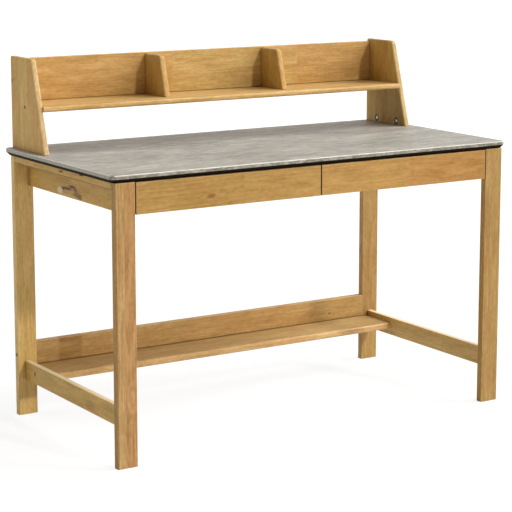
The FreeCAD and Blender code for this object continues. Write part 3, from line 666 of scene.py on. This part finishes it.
# Each board's own tint, which evens out how the light falls on it
PLAIN_TINT = (0.98, 1.02, 0.92)
TINTS = {
    "leg_front_left": (0.84, 0.90, 1.05),
    "leg_front_right": (0.84, 0.91, 0.95),
    "leg_rear_left": (1.22, 1.27, 1.22),
    "leg_rear_right": (0.85, 0.93, 0.99),
    "left_drawer_front": (0.85, 0.90, 0.83),
    "right_drawer_front": (0.90, 0.91, 0.83),
    "side_rail_left": (1.15, 1.29, 1.02),
    "side_apron_left": (1.18, 1.29, 1.00),
    "hutch_side_left": (1.21, 1.32, 1.17),
    "hutch_side_right": (1.07, 1.28, 1.15),
    "hutch_back_panel": (1.08, 1.16, 1.22),
    "hutch_divider_left": (1.03, 1.16, 1.09),
    "hutch_divider_right": (1.09, 1.24, 1.05),
    "hutch_shelf": (1.02, 1.16, 1.29),
    "lower_back_board": (0.97, 1.08, 1.23),
    "foot_shelf": (0.85, 1.00, 1.30),
    "side_stretcher_left": (1.22, 1.32, 1.12),
    "side_stretcher_right": (1.05, 1.22, 1.27),
}
for node, how in BOARDS.items():
    pair = node.rsplit("_", 1)[0]
    shade_and_sheen_lines = SHADE_AND_SHEEN_LINES.get(node) or SHADE_AND_SHEEN_LINES.get(pair, ())
    tint = TINTS.get(node, PLAIN_TINT)
    dress(node, wood("oak_" + node, node, tint=tint, shade_and_sheen_lines=shade_and_sheen_lines, **how))

# Drawer boxes, of paler board with less lacquer
BOX_GRAINS = {"side_left": "Y", "side_right": "Y", "back": "X", "bottom": "X"}
BOX_SEED, DRAWER_SEED_STEP, DOWEL_SEED = 110, 13, 140
BOX_GLOSS, DOWEL_GLOSS = 0.55, 0.6
for index, side in enumerate(("left", "right")):
    for piece, grain in BOX_GRAINS.items():
        node = side + "_drawer_" + piece
        seed = BOX_SEED + DRAWER_SEED_STEP * index + len(piece)
        material = wood("box_" + node, node, grain, seed, stops=BOX_OAK, gloss=BOX_GLOSS)
        dress(node, material)
for node in ("wooden_dowels", "left_drawer_dowels", "right_drawer_dowels"):
    material = wood("beech_" + node, node, "X", DOWEL_SEED, stops=BOX_OAK, gloss=DOWEL_GLOSS)
    dress(node, material)

dress("desktop_slab", concrete())
dress("desktop_underboard", black_board())

# Fittings of metal and plastic
zinc_sheet = metal("zinc_sheet", srgb(138, 142, 146), srgb(196, 198, 200), "Y", 0.34, (60.0, 0.5))
zinc_screw = metal("zinc_screw", srgb(146, 148, 150), srgb(206, 206, 204), "X", 0.32, (4.0, 0.6))
zinc_cast = metal("zinc_cast", srgb(196, 196, 192), srgb(238, 238, 236), "Z", 0.42, (1.5, 1.0), 0.8)
bronze = metal("dark_bronze", srgb(104, 70, 34), srgb(168, 120, 66), "X", 0.4, (2.0, 0.8), 0.45)
black_plastic = plastic("black_plastic", srgb(20, 20, 20), srgb(38, 38, 37), 0.45)

FITTINGS = {
    "case_slide_screws": zinc_screw,
    "wood_screws": zinc_screw,
    "left_drawer_screws": zinc_screw,
    "right_drawer_screws": zinc_screw,
    "cross_nuts": zinc_screw,
    "connector_studs": zinc_screw,
    "connector_cams": zinc_cast,
    "connector_housings": black_plastic,
    "frame_bolts": bronze,
    "hutch_bolts": bronze,
}
for node, material in FITTINGS.items():
    dress(node, material)
for node in CAD:
    if "_slide_" in node and node not in FITTINGS:
        dress(node, zinc_sheet)


# Screws, bolts and cams with their drives, heads and threads, each where the plain turned solid is
ARM_RATIO = 0.27
ARM_CORNER = math.degrees(math.atan(ARM_RATIO))
HEX_ANGLES = [math.radians(10.0 * step) for step in range(36)]
CROSS_ANGLES = [
    math.radians(90.0 * quarter + offset)
    for quarter in range(4)
    for offset in (-ARM_CORNER, 0.0, ARM_CORNER, 25.0, 35.0, 45.0, 55.0, 65.0)]
THREAD_REACH = 24.0
SHARP_ANGLE = 32.0
# Two heights or radii within this many millimetres count as the same
SAME_MM = 0.05


def solids(node):
    """The points of each separate solid of a CAD node, in millimetres."""
    mesh = CAD[node].data
    points = [v.co * MM for v in mesh.vertices]
    keys = [tuple(round(c, 2) for c in point) for point in points]
    root = {key: key for key in keys}

    def find(key):
        while root[key] != key:
            root[key] = root[root[key]]
            key = root[key]
        return key

    for edge in mesh.edges:
        a, b = (find(keys[index]) for index in edge.vertices)
        root[a] = b
    groups = {}
    for key, point in zip(keys, points):
        groups.setdefault(find(key), []).append(point)
    return list(groups.values())


def extent(points):
    """The lowest and the highest corner of the points' box."""
    return [Vector([pick(point[k] for point in points) for k in range(3)]) for pick in (min, max)]


def screw_seats(node):
    """For each screw or bolt: seat and outward direction, then the sizes that its rows ask for.

    These are the head's radius and height, and the shank's radius and length.
    """
    for points in solids(node):
        lo, hi = extent(points)
        mid = (lo + hi) / 2
        axis = max(range(3), key=lambda k: hi[k] - lo[k])
        u, v = (k for k in range(3) if k != axis)
        turned = [
            (math.hypot(point[u] - mid[u], point[v] - mid[v]), point[axis]) for point in points]
        head_r = max(radius for radius, at in turned)
        head = [at for radius, at in turned if radius > head_r - SAME_MM]
        upwards = sum(head) / len(head) > mid[axis]
        foot_at = lo[axis] if upwards else hi[axis]
        seat_at = min(head) if upwards else max(head)
        shank_r = max(radius for radius, at in turned if abs(at - foot_at) < SAME_MM)
        seat = mid.copy()
        seat[axis] = seat_at
        outward = Vector((0.0, 0.0, 0.0))
        outward[axis] = 1.0 if upwards else -1.0
        yield seat, outward, head_r, max(head) - min(head), shank_r, abs(foot_at - seat_at)


def cam_seats(node):
    """For each connector cam: middle of its open face, outward direction, radius and length."""
    for points in solids(node):
        lo, hi = extent(points)
        seat = (lo + hi) / 2
        seat.x = min(lo.x, hi.x, key=abs)
        outward = Vector((-math.copysign(1.0, seat.x), 0.0, 0.0))
        yield seat, outward, (hi.z - lo.z) / 2, hi.x - lo.x


def hexagon(apothem):
    """The outline of a hexagon, as radii over the angles."""
    sixth = math.pi / 3
    return [apothem / math.cos((angle + sixth / 2) % sixth - sixth / 2) for angle in HEX_ANGLES]


def cross(reach):
    """The outline of a cross with four arms, as radii over the angles."""
    quarter = math.pi / 2
    radii = []
    for angle in CROSS_ANGLES:
        off = (angle + quarter / 2) % quarter - quarter / 2
        arm_side = ARM_RATIO * reach / max(abs(math.sin(off)), 1e-6)
        radii.append(min(reach / math.cos(off), arm_side))
    return radii


# Rows of a turned piece: its radius, or its outline as radii, and the height over the seat
def shank_rows(radius, length):
    """A plain neck, then a thread down to a blunt point."""
    pitch = 0.45 * radius
    start = max(0.35 * length, length - THREAD_REACH)
    rows = [(radius, 0.0), (radius, -start)]
    at = start + pitch
    while at < length - pitch:
        rows.append((0.82 * radius, -at + pitch / 2))
        rows.append((radius, -at))
        at += pitch
    rows.append((0.8 * radius, -length + 0.3 * pitch))
    rows.append((0.35 * radius, -length))
    return rows


def bolt_rows(head_r, head_t, shank_r, length):
    """A low domed head with a hexagon socket, which goes on into the shank where that is wide."""
    key = 0.34 * head_r
    depth = head_t + 1.0 if 1.16 * key < shank_r - 0.2 else 0.8 * head_t
    floor_z = head_t - depth
    return [
        (0.1, floor_z - 0.3 * key), (hexagon(0.97 * key), floor_z), (hexagon(key), head_t - 0.2),
        (hexagon(key + 0.2), head_t), (0.52 * head_r, head_t), (0.7 * head_r, 0.93 * head_t),
        (0.84 * head_r, 0.76 * head_t), (0.94 * head_r, 0.5 * head_t),
        (0.99 * head_r, 0.22 * head_t), (head_r, 0.0)] + shank_rows(shank_r, length)


def screw_rows(head_r, head_t, shank_r, length):
    """A pan head with a cross recess that narrows downwards."""
    reach = 0.5 * head_r
    deep = head_t + 0.5
    return [
        (0.05, head_t - deep - 0.3), (cross(0.4 * reach), head_t - deep),
        (cross(reach), head_t - 0.06), (cross(1.06 * reach), head_t), (0.6 * head_r, head_t),
        (0.78 * head_r, 0.9 * head_t), (0.91 * head_r, 0.66 * head_t),
        (0.98 * head_r, 0.36 * head_t), (head_r, 0.12 * head_t),
        (head_r, 0.0)] + shank_rows(shank_r, length)


def cam_rows(radius, length):
    """A cam seen from its open end: a deep cross, a groove round it and broken edges."""
    return [
        (0.1, -3.2), (cross(0.22 * radius), -2.9), (cross(0.6 * radius), -0.08),
        (cross(0.63 * radius), 0.0), (0.74 * radius, 0.0), (0.76 * radius, -0.3),
        (0.84 * radius, -0.3), (0.86 * radius, 0.0), (0.96 * radius, 0.0), (radius, -0.25),
        (radius, 0.4 - length), (0.93 * radius, -length)]


def turn(bm, place, outward, rows, angles):
    """Rings of points round the outward direction, joined to a closed skin."""
    toward = outward.to_track_quat("Z", "Y")
    before = None
    for radii, height in rows:
        if isinstance(radii, float):
            radii = [radii] * len(angles)
        ring = []
        for radius, angle in zip(radii, angles):
            offset = Vector((radius * math.cos(angle), radius * math.sin(angle), height))
            ring.append(bm.verts.new((place + toward @ offset) / MM))
        if before is None:
            bm.faces.new(ring)
        else:
            for i in range(len(ring)):
                j = (i + 1) % len(ring)
                bm.faces.new((before[i], before[j], ring[j], ring[i]))
        before = ring
    bm.faces.new(before)


def added(name, data):
    """A new object in the scene."""
    obj = bpy.data.objects.new(name, data)
    bpy.context.scene.collection.objects.link(obj)
    return obj


# How each kind of hardware finds its places, how it is turned, and over which angles
KINDS = {
    "bolt": (screw_seats, bolt_rows, HEX_ANGLES),
    "screw": (screw_seats, screw_rows, CROSS_ANGLES),
    "cam": (cam_seats, cam_rows, CROSS_ANGLES),
}


def hardware(name, node, body, slot, material, kind):
    seats, rows, angles = KINDS[kind]
    bm = bmesh.new()
    for place, outward, *sizes in seats(node):
        turn(bm, place, outward, rows(*sizes), angles)
    bmesh.ops.recalc_face_normals(bm, faces=bm.faces)
    mesh = bpy.data.meshes.new(name)
    bm.to_mesh(mesh)
    bm.free()
    mesh.polygons.foreach_set("use_smooth", [True] * len(mesh.polygons))
    mesh.set_sharp_from_angle(angle=math.radians(SHARP_ANGLE))
    mesh.materials.append(material)
    obj = added(name, mesh)
    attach(obj, body)
    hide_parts(node)


# Name, the node that it replaces, body, slot, material and kind
HARDWARE = (
    ("frame_hex_bolts", "frame_bolts", "desk", "bolt_bronze", bronze, "bolt"),
    ("hutch_hex_bolts", "hutch_bolts", "desk", "bolt_bronze", bronze, "bolt"),
    ("rail_cross_screws", "wood_screws", "desk", "screw_steel", zinc_screw, "screw"),
    ("case_cross_screws", "case_slide_screws", "desk", "screw_steel", zinc_screw, "screw"),
    ("left_drawer_cross_screws", "left_drawer_screws", "left_drawer",
     "screw_steel", zinc_screw, "screw"),
    ("right_drawer_cross_screws", "right_drawer_screws", "right_drawer",
     "screw_steel", zinc_screw, "screw"),
    ("connector_cross_cams", "connector_cams", "desk", "zinc", zinc_cast, "cam"),
)
for row in HARDWARE:
    hardware(*row)


# Lights: name, azimuth from the front towards the sitter's right, elevation and spread in
# degrees, strength, colour
LIGHTS = (
    ("right", 75.0, 35.0, 50.0, 4.2, (0.98, 1.0, 1.0)),
    ("key", 19.0, 31.0, 5.0, 1.06, (1.0, 1.0, 0.95)),
    ("front", 0.0, 15.0, 50.0, 0.4, (1.0, 0.97, 0.85)),
    ("left", -125.0, 35.0, 50.0, 0.74, (1.0, 1.0, 0.95)),
    ("left_top", -125.0, 60.0, 40.0, 0.15, (1.0, 1.0, 0.95)),
)
DOME_LEVEL = 0.02
GLOSS_LEVEL = 1.0
SEEN_LEVEL = 1.0


def sun(name, azimuth, elevation, spread, strength, color):
    data = bpy.data.lights.new(name, "SUN")
    data.angle = math.radians(spread)
    data.energy = strength
    data.color = color
    lamp = added(name, data)
    lamp.rotation_euler = (math.radians(90.0 - elevation), 0.0, math.radians(azimuth))


def studio():
    """A world that lights little, shows white to the camera and gives gloss a level of its own."""
    world = bpy.data.worlds.new("studio")
    bpy.context.scene.world = world
    world.use_nodes = True
    nodes, link = world.node_tree.nodes, world.node_tree.links.new

    def background(level, n):
        n.inputs["Color"].default_value = WHITE
        n.inputs["Strength"].default_value = level
        return n.outputs[0]

    def either(factor, a, b):
        n = nodes.new("ShaderNodeMixShader")
        for value, socket in zip((factor, a, b), n.inputs):
            link(value, socket)
        return n.outputs[0]

    dome = background(DOME_LEVEL, nodes["Background"])
    seen = background(SEEN_LEVEL, nodes.new("ShaderNodeBackground"))
    gloss = background(GLOSS_LEVEL, nodes.new("ShaderNodeBackground"))
    rays = nodes.new("ShaderNodeLightPath").outputs
    straight = nodes.new("ShaderNodeMath")
    straight.operation = "MAXIMUM"
    link(rays["Is Camera Ray"], straight.inputs[0])
    link(rays["Is Transmission Ray"], straight.inputs[1])
    shiny = either(rays["Is Glossy Ray"], dome, gloss)
    mixed = either(straight.outputs[0], shiny, seen)
    link(mixed, nodes["World Output"].inputs["Surface"])


for light in LIGHTS:
    sun(*light)
studio()

FLOOR_RADIUS = 40.0
FLOOR_CORNERS = 96
FLOOR_GREY = (0.78, 0.78, 0.78, 1.0)
FLOOR_ROUGH = 0.9
FLOOR_SPECULAR = 0.1
FLOOR_GLOW = 1.15
FLOOR_SHARE = 0.73
FLOOR_NEAR, FLOOR_FAR = 1500.0, 4000.0


def floor():
    """Near the desk the camera sees the floor's shading, lifted to white; far off plain white."""
    mesh = bpy.data.meshes.new("floor")
    bm = bmesh.new()
    bmesh.ops.create_circle(bm, cap_ends=True, radius=FLOOR_RADIUS, segments=FLOOR_CORNERS)
    bm.to_mesh(mesh)
    bm.free()
    obj = added("floor", mesh)
    g = Graph("floor_white")
    g.put(g.shader.inputs["Base Color"], FLOOR_GREY)
    g.put(g.shader.inputs["Roughness"], FLOOR_ROUGH)
    g.put(g.shader.inputs["Specular IOR Level"], FLOOR_SPECULAR)
    glow = g.node("ShaderNodeEmission", {"Color": WHITE, "Strength": FLOOR_GLOW}).outputs[0]
    rays = g.node("ShaderNodeLightPath").outputs
    reflected = g.math("MAXIMUM", rays["Is Glossy Ray"], rays["Is Transmission Ray"])
    seen = g.math("MAXIMUM", rays["Is Camera Ray"], reflected)
    white = g.fade(g.length(g.place()), FLOOR_NEAR, FLOOR_FAR, FLOOR_SHARE, 1.0)
    inputs = {0: g.math("MULTIPLY", seen, white), 1: g.shader.outputs[0], 2: glow}
    mixed = g.node("ShaderNodeMixShader", inputs).outputs[0]
    g.put(g.tree.nodes["Material Output"].inputs["Surface"], mixed)
    mesh.materials.append(g.mat)


floor()

cam_data = bpy.data.cameras.new("camera")
cam_data.sensor_width = SENSOR_MM
cam_data.lens = CAMERA_FOCAL_PX / FRAME_PX * SENSOR_MM
cam_data.shift_y = CAMERA_SHIFT_Y
cam_data.clip_start, cam_data.clip_end = CAMERA_CLIP
camera = added("camera", cam_data)
camera.location = CAMERA_PLACE
camera.rotation_euler = (math.radians(90.0 - CAMERA_PITCH), 0.0, -math.radians(CAMERA_YAW))
bpy.context.scene.camera = camera
bpy.context.scene.view_settings.view_transform = "Standard"
